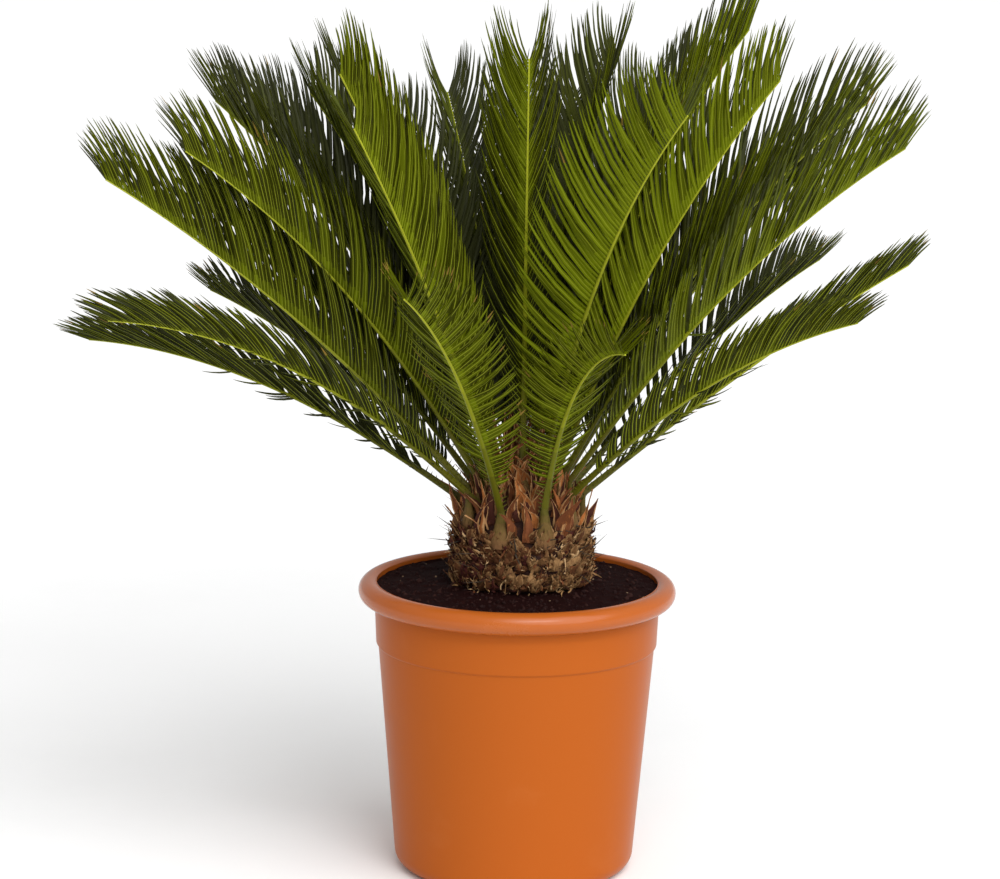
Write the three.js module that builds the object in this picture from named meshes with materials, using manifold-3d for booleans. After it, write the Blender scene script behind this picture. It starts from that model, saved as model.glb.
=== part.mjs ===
// Sago palm (Cycas revoluta) in a round plastic pot, in millimetres, +Z up.
// The origin is the centre of the pot's underside, on the surface it stands on.
import * as THREE from 'three';
import { mergeVertices } from 'three/addons/utils/BufferGeometryUtils.js';
import Module from 'manifold-3d';

const wasm = await Module();
wasm.setup();

// ---- Driving dimensions, in millimetres and degrees ----
const GAP = 0.3; // between pieces that touch
const POT_SEGMENTS = 36;
const RIM_POINTS = 8; // facets round the rolled rim

const RIM_OUTER_RADIUS = 171;
const RIM_BEAD = 12; // radius of the rolled rim
const RIM_Z = 305.6; // centre of the rolled rim
const COLLAR_TOP_RADIUS = 153.5;
const COLLAR_FOOT_RADIUS = 151.5;
const COLLAR_Z = 248.6; // lower edge of the collar
const COLLAR_STEP = 2.4; // how far the body is set in under the collar
const BODY_FOOT_RADIUS = 130; // where the tapered body meets the rounded lower corner
const FOOT_RADIUS = 110; // edge of the flat underside
const FOOT_ROUND = 19; // height of the lower corner's rounding
const CORNER_STEPS = 4;
const WALL = 2.2;
const FLOOR = 6;
const FLOOR_RADIUS = 113; // of the flat floor inside
const NOTCHES = 10; // drain notches round the edge of the underside
const NOTCH_WIDTH = 13;
const NOTCH_HEIGHT = 4.5;
const NOTCH_DEPTH = 24;

const SOIL_EDGE_Z = 311;
const SOIL_CROWN_Z = 315; // flat seat of the trunk, on the mounded soil
const SOIL_SEAT_RADIUS = 78;

const TRUNK_X = 4; // the trunk stands a little to one side of the pot's axis
const TRUNK_SEGMENTS = 20;
const TRUNK_PROFILE = [ // height above the soil, radius
  [0, 59], [14, 65], [30, 68], [48, 67.5], [64, 64], [80, 53], [96, 40], [106, 24], [111, 10],
];
const SHOULDER = 64; // height at which the trunk begins to close over into the crown
const CROWN = 111;
const OLD_BASE_ROWS = 4; // rows of cut leaf bases round the trunk
const OLD_BASES_IN_ROW = 13;
const OLD_BASE_WIDTH = 20;
const OLD_BASE_HEIGHT = 15;
const OLD_BASE_REACH = 7;
const SUNK = 5; // how far what grows on the trunk is sunk into it
const SCALES = 72; // pointed scale leaves among the fronds
const SCALE_LENGTH = 54;
const SCALE_WIDTH = 14;
const SCALE_THICKNESS = 7;
const OUTER_SCALE_LEAN = 52; // rise of the outermost scale leaves
const INNER_SCALE_LEAN = 88;
const GOLDEN_ANGLE = 137.508;

// Where a frond leaves the crown: steep young ones near the middle, low old ones at its edge
const LOW_RISE = 30;
const STEEP_RISE = 86;
const EDGE_RADIUS = 62;
const EDGE_HEIGHT = 77; // above the soil
const MIDDLE_RADIUS = 23;
const MIDDLE_HEIGHT = 120;
const BOSS_LENGTH = 26;
const BOSS_SWELL = 1.25; // boss width over stalk width, at its face
const BOSS_FOOT_SWELL = 1.75; // and inside the trunk

const STALK_WIDTH = 8.5;
const STALK_HEIGHT = 6.5;
const RIB_END_WIDTH = 1.8;
const RIB_END_HEIGHT = 1.5;
const RIB_TAPER = 1.7; // the rib thins faster near the trunk than near its tip
const STALK_SHARE = 0.13; // share of the rib that is a bare stalk
const STALK_STEPS = 3;
const LEAF_PAIRS = 26;
const LEAF_SIZE = { low: 0.8, middle: 1.1, upright: 1.08, short: 0.8 };
const RIB_POINT = 10; // length of the rib's pointed end, beyond the last leaflets
const FULL_RIB = 480; // rib whose leaflets have the lengths in LEAF_LENGTHS
const CLEARANCE = 0.35; // least distance between pieces of different fronds
const SHORTER = [1, 0.8, 0.62, 0.45]; // tried in turn where a leaflet would touch

// Leaflet length, angle to the rib and lift out of the blade, each against the share along the rib
const LEAF_LENGTHS = [
  [0.1, 14], [0.17, 34], [0.3, 80], [0.5, 106], [0.7, 108], [0.86, 98], [0.95, 80], [1, 42],
];
const LEAF_ANGLES = [[0.1, 78], [0.3, 66], [0.6, 56], [0.86, 52], [1, 50]];
const LEAF_LIFTS = [[0.1, 30], [0.4, 50], [1, 50]];

// Azimuth from +X, rise at the crown, rib length, how far the rib bends down by its tip,
// the turn of the blade about its rib, and how far its leaflets open beside the angles above
const FRONDS = {
  low: [
    [164, 32, 472, 31, 0, 0.46], [152, 39, 398, 21, 0, 0.6], [122, 36, 430, 24, 0, 0.62],
    [95, 39, 430, 24, 0, 0.62], [68, 36, 430, 24, 0, 0.62], [39, 38.5, 446, 17, 0, 0.6],
    [10, 38.5, 446, 9, -15, 0.46], [-30.5, 45, 409, 27.5, 0, 0.55], [-156, 43, 472, 37, 0, 0.46],
  ],
  middle: [
    [-175, 47.5, 522, 16, 20, 0.66], [-167, 59, 492, 25, 15, 0.6], [160, 61, 517, 24, 0, 0.6],
    [143, 58, 512, 22, 0, 0.6], [120, 54, 470, 22, 0, 0.65], [98, 57, 450, 22, 0, 0.65],
    [75, 54, 460, 22, 0, 0.65], [50, 57, 470, 22, 0, 0.65], [28, 55, 490, 22, 0, 0.65],
    [6, 62, 530, 25, 8, 0.62], [-8, 56, 522, 22, 12, 0.66], [-18, 69, 503, 18, 0, 0.66],
    [-52, 73, 474, 29, 0, 0.9], [-131, 64.5, 461, 10, 20, 0.5], [-146, 70.5, 487, 11, 20, 0.42],
    [174, 53.5, 450, 22, 0, 0.64],
  ],
  upright: [
    [149.5, 67.5, 472, 20, 0, 0.58], [136, 72, 405, 18, 0, 0.6], [109.5, 67.5, 462, 19, 0, 0.54],
    [93, 75, 440, 18, 0, 0.6], [76, 71, 450, 18, 0, 0.6], [54, 83, 466, 28, -12, 0.58],
    [58, 68, 460, 18, 0, 0.54], [40, 70, 480, 20, 0, 0.6], [8, 76, 526, 23, 0, 0.5],
    [-90, 84, 464, 16, 0, 0.54],
  ],
  short: [[-109, 55, 415, 31, 0, 0.9], [-69, 72, 320, 68, 0, 1]],
};
const BEND_POWER = 1.5; // the bend gathers towards the tip

const COLOURS = { pot: 0xb65e22, soil: 0x1a0e0e, trunk: 0x614830, low: 0x454d14, middle: 0x424b13,
  upright: 0x3c4414, short: 0x505914 };

// ---- Small helpers ----
const radians = THREE.MathUtils.degToRad;
const vec = (x, y, z) => new THREE.Vector3(x, y, z);

/** A value read off a list of [place, value] knots, straight between them. */
function ramp(knots, place) {
  if (place <= knots[0][0]) return knots[0][1];
  for (let k = 1; k < knots.length; k += 1) {
    const [from, low] = knots[k - 1];
    const [to, high] = knots[k];
    if (place <= to) return THREE.MathUtils.mapLinear(place, from, to, low, high);
  }
  return knots[knots.length - 1][1];
}

/** A point moved along any number of [direction, distance] pairs. */
function moved(point, ...steps) {
  const out = point.clone();
  for (const [direction, distance] of steps) out.addScaledVector(direction, distance);
  return out;
}

/** A geometry from its points and triangles. */
function geometryOf(points, triangles) {
  const geometry = new THREE.BufferGeometry();
  const flat = new Float32Array(points.flatMap((p) => [p.x, p.y, p.z]));
  geometry.setAttribute('position', new THREE.BufferAttribute(flat, 3));
  geometry.setIndex(triangles.flat());
  geometry.computeVertexNormals();
  return geometry;
}

/** The manifold solid of a closed geometry. */
function solidOf(geometry) {
  geometry.deleteAttribute('normal');
  geometry.deleteAttribute('uv');
  const merged = mergeVertices(geometry, 1e-4);
  return new wasm.Manifold(new wasm.Mesh({
    numProp: 3,
    vertProperties: new Float32Array(merged.attributes.position.array),
    triVerts: new Uint32Array(merged.index.array),
  }));
}

/** The geometry of a manifold solid. */
function geometryFrom(solid) {
  const mesh = solid.getMesh();
  const geometry = new THREE.BufferGeometry();
  geometry.setAttribute('position', new THREE.BufferAttribute(mesh.vertProperties, 3));
  geometry.setIndex(new THREE.BufferAttribute(mesh.triVerts, 1));
  geometry.computeVertexNormals();
  return geometry;
}

/** A lathed geometry about the Z axis, from a profile of [radius, z] that runs upwards outside. */
function lathed(profile, segments) {
  const points = profile.map(([radius, z]) => new THREE.Vector2(radius, z));
  return new THREE.LatheGeometry(points, segments).rotateX(Math.PI / 2);
}

/** A stick with the same number of corners at each end: its geometry, faces outwards. */
function stick(startRing, endRing) {
  const count = startRing.length;
  const triangles = [];
  for (let k = 0; k < count; k += 1) {
    const next = (k + 1) % count;
    triangles.push([k, next, count + next], [k, count + next, count + k]);
    if (k > 0 && k < count - 1) triangles.push([0, k + 1, k], [count, count + k, count + k + 1]);
  }
  return geometryOf([...startRing, ...endRing], triangles);
}

/** A pointed scale: its geometry from the corners of its foot and its tip. */
function spike(ring, tip) {
  const count = ring.length;
  const triangles = [];
  for (let k = 0; k < count; k += 1) {
    triangles.push([k, (k + 1) % count, count]);
    if (k > 0 && k < count - 1) triangles.push([0, k + 1, k]);
  }
  return geometryOf([...ring, tip], triangles);
}

function colouredMesh(name, geometry, colour, roughness) {
  const material = new THREE.MeshStandardMaterial({ color: colour, roughness, metalness: 0 });
  const mesh = new THREE.Mesh(geometry, material);
  mesh.name = name;
  return mesh;
}

// ---- Convex pieces: whether two of them stay apart ----

/** A convex piece from its corners, with the directions that a gap can show along. */
function convex(corners, faces) {
  const axes = [];
  const edges = [];
  for (const [a, b, c] of faces) {
    const ab = corners[b].clone().sub(corners[a]);
    const ac = corners[c].clone().sub(corners[a]);
    axes.push(ab.clone().cross(ac).normalize());
    edges.push(ab);
  }
  return { corners, axes, edges, box: new THREE.Box3().setFromPoints(corners) };
}

function gapAlong(axis, one, other) {
  let [oneLow, oneHigh, otherLow, otherHigh] = [Infinity, -Infinity, Infinity, -Infinity];
  for (const corner of one.corners) {
    const d = axis.dot(corner);
    oneLow = Math.min(oneLow, d);
    oneHigh = Math.max(oneHigh, d);
  }
  for (const corner of other.corners) {
    const d = axis.dot(corner);
    otherLow = Math.min(otherLow, d);
    otherHigh = Math.max(otherHigh, d);
  }
  return Math.max(otherLow - oneHigh, oneLow - otherHigh);
}

/** Whether two convex pieces are at least CLEARANCE apart. */
function apart(one, other) {
  if (!one.box.clone().expandByScalar(CLEARANCE).intersectsBox(other.box)) return true;
  for (const axis of [...one.axes, ...other.axes]) {
    if (gapAlong(axis, one, other) >= CLEARANCE) return true;
  }
  for (const a of one.edges) {
    for (const b of other.edges) {
      const axis = a.clone().cross(b);
      if (axis.lengthSq() < 1e-6) continue;
      if (gapAlong(axis.normalize(), one, other) >= CLEARANCE) return true;
    }
  }
  return false;
}

// ---- Pot: one moulding with a rolled rim, a collar, a tapered body and a notched lower edge ----
function potProfile() {
  const rimCentre = RIM_OUTER_RADIUS - RIM_BEAD;
  const bodyTop = COLLAR_FOOT_RADIUS - COLLAR_STEP;
  const outside = [[0, 0]];
  for (let k = 0; k <= CORNER_STEPS; k += 1) {
    const turn = ((Math.PI / 2) * k) / CORNER_STEPS;
    const radius = THREE.MathUtils.lerp(FOOT_RADIUS, BODY_FOOT_RADIUS, Math.sin(turn));
    outside.push([radius, FOOT_ROUND * (1 - Math.cos(turn))]);
  }
  outside.push([bodyTop, COLLAR_Z - COLLAR_STEP], [COLLAR_FOOT_RADIUS, COLLAR_Z]);
  const rimStart = -Math.PI / 2 - Math.asin((rimCentre - COLLAR_TOP_RADIUS) / RIM_BEAD);
  const rimEnd = Math.acos((COLLAR_TOP_RADIUS - WALL - rimCentre) / RIM_BEAD);
  for (let k = 0; k <= RIM_POINTS; k += 1) {
    const turn = THREE.MathUtils.lerp(rimStart, rimEnd, k / RIM_POINTS);
    outside.push([rimCentre + RIM_BEAD * Math.cos(turn), RIM_Z + RIM_BEAD * Math.sin(turn)]);
  }
  const inside = [
    [COLLAR_TOP_RADIUS - WALL, RIM_Z - RIM_BEAD], [COLLAR_FOOT_RADIUS - WALL, COLLAR_Z],
    [bodyTop - WALL, COLLAR_Z - COLLAR_STEP], [BODY_FOOT_RADIUS - WALL, FOOT_ROUND],
    [FLOOR_RADIUS, FLOOR],
  ];
  return { outside, inside };
}

function pot() {
  const { outside, inside } = potProfile();
  let solid = solidOf(lathed([...outside, ...inside, [0, FLOOR]], POT_SEGMENTS));
  for (let k = 0; k < NOTCHES; k += 1) {
    const notch = new THREE.BoxGeometry(2 * NOTCH_DEPTH, NOTCH_WIDTH, 2 * NOTCH_HEIGHT);
    notch.translate(BODY_FOOT_RADIUS, 0, 0).rotateZ(radians((k + 0.5) * (360 / NOTCHES)));
    solid = solid.subtract(solidOf(notch));
  }
  return colouredMesh('pot', geometryFrom(solid), COLOURS.pot, 0.45);
}

// ---- Soil: fills the pot to just under its rim and mounds up to the trunk ----
function soil() {
  const wall = potProfile().inside.reverse().map(([radius, z]) => [radius - GAP, z]);
  wall[0][1] += GAP;
  const edge = COLLAR_TOP_RADIUS - WALL - GAP;
  const profile = [
    [0, FLOOR + GAP], ...wall, [edge, SOIL_EDGE_Z],
    [(edge + SOIL_SEAT_RADIUS) / 2, (2 * SOIL_EDGE_Z + SOIL_CROWN_Z) / 3],
    [SOIL_SEAT_RADIUS, SOIL_CROWN_Z], [0, SOIL_CROWN_Z],
  ];
  return colouredMesh('soil', lathed(profile, POT_SEGMENTS), COLOURS.soil, 1);
}

// ---- Fronds: a tapered rib with a leaflet on each side at every step ----
function pathOf(kind, [azimuth, rise, length, bend, turn]) {
  const inward = kind === 'short' ? 0 : (rise - LOW_RISE) / (STEEP_RISE - LOW_RISE);
  const radius = THREE.MathUtils.lerp(EDGE_RADIUS, MIDDLE_RADIUS, inward);
  const around = radians(azimuth);
  const out = vec(Math.cos(around), Math.sin(around), 0);
  const side = vec(-out.y, out.x, 0);
  const riseAt = (share) => radians(rise - bend * share ** BEND_POWER);
  const stations = [];
  const point = vec(TRUNK_X, 0, SOIL_CROWN_Z + THREE.MathUtils.lerp(EDGE_HEIGHT, MIDDLE_HEIGHT, inward));
  point.addScaledVector(out, radius);
  const steps = STALK_STEPS + LEAF_PAIRS;
  let last = 0;
  for (let k = 0; k <= steps; k += 1) {
    const share = k < STALK_STEPS ? (STALK_SHARE * k) / STALK_STEPS
      : STALK_SHARE + ((1 - STALK_SHARE) * (k - STALK_STEPS)) / LEAF_PAIRS;
    const middle = riseAt((share + last) / 2);
    point.addScaledVector(out, Math.cos(middle) * (share - last) * length);
    point.z += Math.sin(middle) * (share - last) * length;
    last = share;
    const along = vec(0, 0, Math.sin(riseAt(share))).addScaledVector(out, Math.cos(riseAt(share)));
    const twist = radians(turn * Math.min(1, share * 2));
    const left = side.clone().applyAxisAngle(along, twist);
    stations.push({ share, point: point.clone(), along, left, up: along.clone().cross(left) });
  }
  return stations;
}

/** The rib's corners at a station: low left, low right and top. */
function ribCorners({ share, point, left, up }, swell = 1) {
  const fullness = (1 - share) ** RIB_TAPER;
  const half = (THREE.MathUtils.lerp(RIB_END_WIDTH, STALK_WIDTH, fullness) / 2) * swell;
  const height = THREE.MathUtils.lerp(RIB_END_HEIGHT, STALK_HEIGHT, fullness) * swell;
  return [moved(point, [left, half]), moved(point, [left, -half]), moved(point, [up, height])];
}

const PRISM_FACES = [[0, 1, 2], [3, 4, 5], [0, 3, 1], [1, 4, 2], [2, 5, 0]];
const LEAF_FACES = [[0, 1, 4], [1, 2, 4], [2, 3, 4], [3, 0, 4], [0, 1, 2]];

function frondOf(kind, row) {
  const stations = pathOf(kind, row);
  const rings = stations.map((station) => ribCorners(station));
  const end = stations[stations.length - 1];
  const tip = moved(end.point, [end.along, RIB_POINT], [end.up, RIB_END_HEIGHT / 2]);
  const prisms = rings.slice(1).map((ring, k) => convex([...rings[k], ...ring], PRISM_FACES));
  prisms.push(convex([...rings[rings.length - 1], tip], [[0, 1, 2], [0, 1, 3], [1, 2, 3], [2, 0, 3]]));
  return { kind, row, stations, rings, tip, prisms, leaves: new Map() };
}

/** The corners of one leaflet: the four on the rib's side, then its tip. */
function leafCorners(frond, k, side, shorter) {
  const [near, far] = [frond.rings[k], frond.rings[k + 1]];
  const [a, b] = [frond.stations[k], frond.stations[k + 1]];
  const share = (a.share + b.share) / 2;
  const size = LEAF_SIZE[frond.kind] * (0.55 + (0.45 * frond.row[2]) / FULL_RIB);
  const length = ramp(LEAF_LENGTHS, share) * size * shorter;
  const angle = radians(ramp(LEAF_ANGLES, share) * frond.row[5]);
  const lift = radians(ramp(LEAF_LIFTS, share));
  const root = near[2].clone().add(far[2]).multiplyScalar(0.5);
  const tip = moved(root, [b.along, Math.cos(angle) * length],
    [b.left, side * Math.cos(lift) * Math.sin(angle) * length],
    [b.up, Math.sin(lift) * Math.sin(angle) * length]);
  return side > 0 ? [near[0], near[2], far[2], far[0], tip] : [near[2], near[1], far[1], far[2], tip];
}

/** Gives every frond its leaflets, each as long as its neighbours leave room for, or none. */
function growLeaves(fronds) {
  const placed = [];
  fronds.forEach((frond, owner) => frond.prisms.forEach((piece) => placed.push({ owner, piece })));
  const steps = STALK_STEPS + LEAF_PAIRS;
  for (let k = steps - 1; k >= STALK_STEPS; k -= 1) {
    fronds.forEach((frond, owner) => {
      for (const side of [1, -1]) {
        for (const shorter of SHORTER) {
          const corners = leafCorners(frond, k, side, shorter);
          const piece = convex(corners, LEAF_FACES);
          if (placed.some((other) => other.owner !== owner && !apart(piece, other.piece))) continue;
          placed.push({ owner, piece });
          frond.leaves.set(`${k},${side}`, corners[4]);
          break;
        }
      }
    });
  }
  return placed;
}

function frondGeometry({ stations, rings, tip, leaves }) {
  const points = rings.flat();
  const triangles = [[0, 1, 2]];
  for (let k = 0; k + 1 < stations.length; k += 1) {
    const [lowLeft, lowRight, top] = [3 * k, 3 * k + 1, 3 * k + 2];
    triangles.push([lowLeft, lowLeft + 3, lowRight], [lowLeft + 3, lowRight + 3, lowRight]);
    const quads = { 1: [lowLeft, top, top + 3, lowLeft + 3], [-1]: [top, lowRight, lowRight + 3, top + 3] };
    for (const [side, quad] of Object.entries(quads)) {
      const leafTip = leaves.get(`${k},${side}`);
      if (leafTip) {
        points.push(leafTip);
        quad.forEach((corner, n) => triangles.push([corner, quad[(n + 1) % 4], points.length - 1]));
      } else {
        triangles.push([quad[0], quad[1], quad[3]], [quad[1], quad[2], quad[3]]);
      }
    }
  }
  const last = 3 * (stations.length - 1);
  points.push(tip);
  const end = points.length - 1;
  triangles.push([last, last + 2, end], [last + 2, last + 1, end], [last + 1, last, end]);
  return geometryOf(points, triangles);
}

// ---- Trunk: a short barrel with a boss under each frond, old leaf bases and scale leaves ----
function trunkCore() {
  const levels = TRUNK_PROFILE.map(([height, radius]) => [radius, SOIL_CROWN_Z + GAP + height]);
  const profile = [[0, levels[0][1]], ...levels, [0, SOIL_CROWN_Z + CROWN + 1]];
  return lathed(profile, TRUNK_SEGMENTS).translate(TRUNK_X, 0, 0);
}

/** A point just inside the trunk's skin, with the outward and sideways directions there. */
function trunkPlace(azimuth, height) {
  const out = vec(Math.cos(radians(azimuth)), Math.sin(radians(azimuth)), 0);
  const point = vec(TRUNK_X, 0, SOIL_CROWN_Z + height);
  point.addScaledVector(out, ramp(TRUNK_PROFILE, height) - SUNK);
  return { point, out, side: vec(-out.y, out.x, 0), up: vec(0, 0, 1) };
}

/** Cut leaf bases in offset rows: each a diamond that reaches out and up to a smaller flat face. */
function oldBases() {
  const bases = [];
  const pitch = (SHOULDER - OLD_BASE_HEIGHT / 2) / OLD_BASE_ROWS;
  const [wide, tall] = [OLD_BASE_WIDTH / 2, OLD_BASE_HEIGHT / 2];
  for (let row = 0; row < OLD_BASE_ROWS; row += 1) {
    for (let k = 0; k < OLD_BASES_IN_ROW; k += 1) {
      const azimuth = ((k + (row % 2) / 2) * 360) / OLD_BASES_IN_ROW;
      const { point, out, side, up } = trunkPlace(azimuth, tall + 1 + pitch * row);
      const corner = (across, above, reach) => moved(point, [side, across], [up, above], [out, reach]);
      const reach = SUNK + OLD_BASE_REACH + 2 * Math.sin(k * GOLDEN_ANGLE + row);
      const foot = [corner(-wide, 0, 0), corner(0, -tall, 0), corner(wide, 0, 0), corner(0, tall, 0)];
      const face = [corner(-wide / 2, tall, reach), corner(0, tall / 2, reach),
        corner(wide / 2, tall, reach), corner(0, 1.5 * tall, reach - 2)];
      bases.push(stick(foot, face));
    }
  }
  return bases;
}

/** The boss that carries a frond: it ends in a flat face just under the stalk's own. */
function boss({ stations }) {
  const [start] = stations;
  const below = moved(start.point, [start.along, -BOSS_LENGTH]);
  const foot = ribCorners({ ...start, point: below }, BOSS_FOOT_SWELL);
  const face = ribCorners({ ...start, point: moved(start.point, [start.along, -GAP]) }, BOSS_SWELL);
  return stick([foot[0], foot[2], foot[1]], [face[0], face[2], face[1]]);
}

/** Pointed scale leaves in a spiral up the crown, wherever the fronds leave them room. */
function scaleLeaves(placed) {
  const scales = [];
  for (let k = 0; k < SCALES; k += 1) {
    const share = (k + 0.5) / SCALES;
    const height = THREE.MathUtils.lerp(SHOULDER - SUNK, CROWN - SUNK / 2, Math.sqrt(share));
    const { point, out, side } = trunkPlace(k * GOLDEN_ANGLE, height);
    const lean = radians(THREE.MathUtils.lerp(OUTER_SCALE_LEAN, INNER_SCALE_LEAN, share));
    const along = vec(0, 0, Math.sin(lean)).addScaledVector(out, Math.cos(lean));
    const back = along.clone().cross(side);
    const corner = (across, thick) => moved(point, [side, across], [back, thick]);
    const [wide, thick] = [SCALE_WIDTH / 2, SCALE_THICKNESS / 2];
    const ring = [corner(-wide, 0), corner(0, -thick), corner(wide, 0), corner(0, thick)];
    const length = SCALE_LENGTH * (0.85 + 0.15 * Math.sin(k * GOLDEN_ANGLE));
    for (const shorter of SHORTER) {
      const tip = moved(point, [along, length * shorter]);
      const piece = convex([...ring, tip], LEAF_FACES);
      if (placed.some((other) => !apart(piece, other.piece))) continue;
      scales.push(spike(ring, tip));
      break;
    }
  }
  return scales;
}

function trunk(fronds, placed) {
  const joined = [...oldBases(), ...fronds.map(boss), ...scaleLeaves(placed)];
  let solid = solidOf(trunkCore());
  for (const geometry of joined) solid = solid.add(solidOf(geometry));
  return colouredMesh('trunk', geometryFrom(solid), COLOURS.trunk, 0.95);
}

// ---- The whole plant ----
const fronds = Object.entries(FRONDS).flatMap(([kind, rows]) => rows.map((row) => frondOf(kind, row)));
const placed = growLeaves(fronds);

const palm = new THREE.Group();
palm.add(pot(), soil(), trunk(fronds, placed));
const counts = {};
for (const frond of fronds) {
  counts[frond.kind] = (counts[frond.kind] ?? 0) + 1;
  const number = String(counts[frond.kind]).padStart(2, '0');
  const name = `frond_${frond.kind}_${number}`;
  palm.add(colouredMesh(name, frondGeometry(frond), COLOURS[frond.kind], 0.6));
}

export default palm;
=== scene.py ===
import math

import bmesh
import bpy
import numpy as np
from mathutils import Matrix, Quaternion, Vector, noise


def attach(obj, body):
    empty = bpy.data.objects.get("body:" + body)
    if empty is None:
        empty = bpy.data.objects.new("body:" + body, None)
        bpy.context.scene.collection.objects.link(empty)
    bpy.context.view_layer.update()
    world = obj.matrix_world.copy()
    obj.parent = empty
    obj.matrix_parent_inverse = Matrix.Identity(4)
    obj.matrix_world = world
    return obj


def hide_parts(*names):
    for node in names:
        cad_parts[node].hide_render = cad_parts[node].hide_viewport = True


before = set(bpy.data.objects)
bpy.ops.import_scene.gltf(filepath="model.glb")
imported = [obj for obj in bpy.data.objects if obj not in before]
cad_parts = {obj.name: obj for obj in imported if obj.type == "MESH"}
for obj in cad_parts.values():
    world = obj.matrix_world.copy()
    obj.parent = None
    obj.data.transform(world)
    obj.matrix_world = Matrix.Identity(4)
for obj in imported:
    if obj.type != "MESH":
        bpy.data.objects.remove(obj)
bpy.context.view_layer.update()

# ---- Camera ----
# A long lens some way off, a little above the leaves' feet and looking slightly down, so that
# the pot's rim shows as a flat oval. The camera leans a hair to one side.
CAMERA_PLACE = Vector((-0.0205, -3.6, 1.144))
CAMERA_AIM = Vector((-0.0205, 0, 0.47))
CAMERA_LEAN = math.radians(0.75)
LENS = 123.26
SENSOR_WIDTH = 36

camera = bpy.data.objects.new("camera", bpy.data.cameras.new("camera"))
camera.data.lens = LENS
camera.data.sensor_width = SENSOR_WIDTH
camera.location = CAMERA_PLACE
camera.rotation_mode = "QUATERNION"
look = (CAMERA_AIM - CAMERA_PLACE).to_track_quat("-Z", "Y")
camera.rotation_quaternion = look @ Quaternion((0, 0, 1), CAMERA_LEAN)
bpy.context.scene.collection.objects.link(camera)
bpy.context.scene.camera = camera
bpy.context.scene.view_settings.view_transform = "Standard"

# ---- Pot ----
# A round container pot, moulded in one piece from terracotta-coloured polypropylene: a rolled
# rim, a plain collar that stands a little proud of the tapered body, and drain notches below.
MM = 0.001
RIM_OUTER_RADIUS = 171
RIM_BEAD = 12
RIM_Z = 305.6
COLLAR_TOP_RADIUS = 153.5
COLLAR_FOOT_RADIUS = 151.5
COLLAR_Z = 248.6
COLLAR_STEP = 2.4
COLLAR_ROUND = 0.7
BODY_FOOT_RADIUS = 130
FOOT_RADIUS = 110
FOOT_ROUND = 19
WALL = 2.2
LIP = 1.3
LIP_START = 0.4
FLOOR = 6
FLOOR_RADIUS = 113
NOTCHES = 10
NOTCH_WIDTH = 13
NOTCH_HEIGHT = 4.5
NOTCH_DEPTH = 24
POT_STEPS = 144
CORNER_STEPS = 12
RIM_STEPS = 30
LIP_STEPS = 6
SLACK = 0.1
CREASE = math.radians(40)
TERRACOTTA = (0.385, 0.088, 0.01)
TERRACOTTA_DUSTY = (0.405, 0.102, 0.017)
PATCH_SOFTNESS = 0.25
SPECKLE = 0.5


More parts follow.
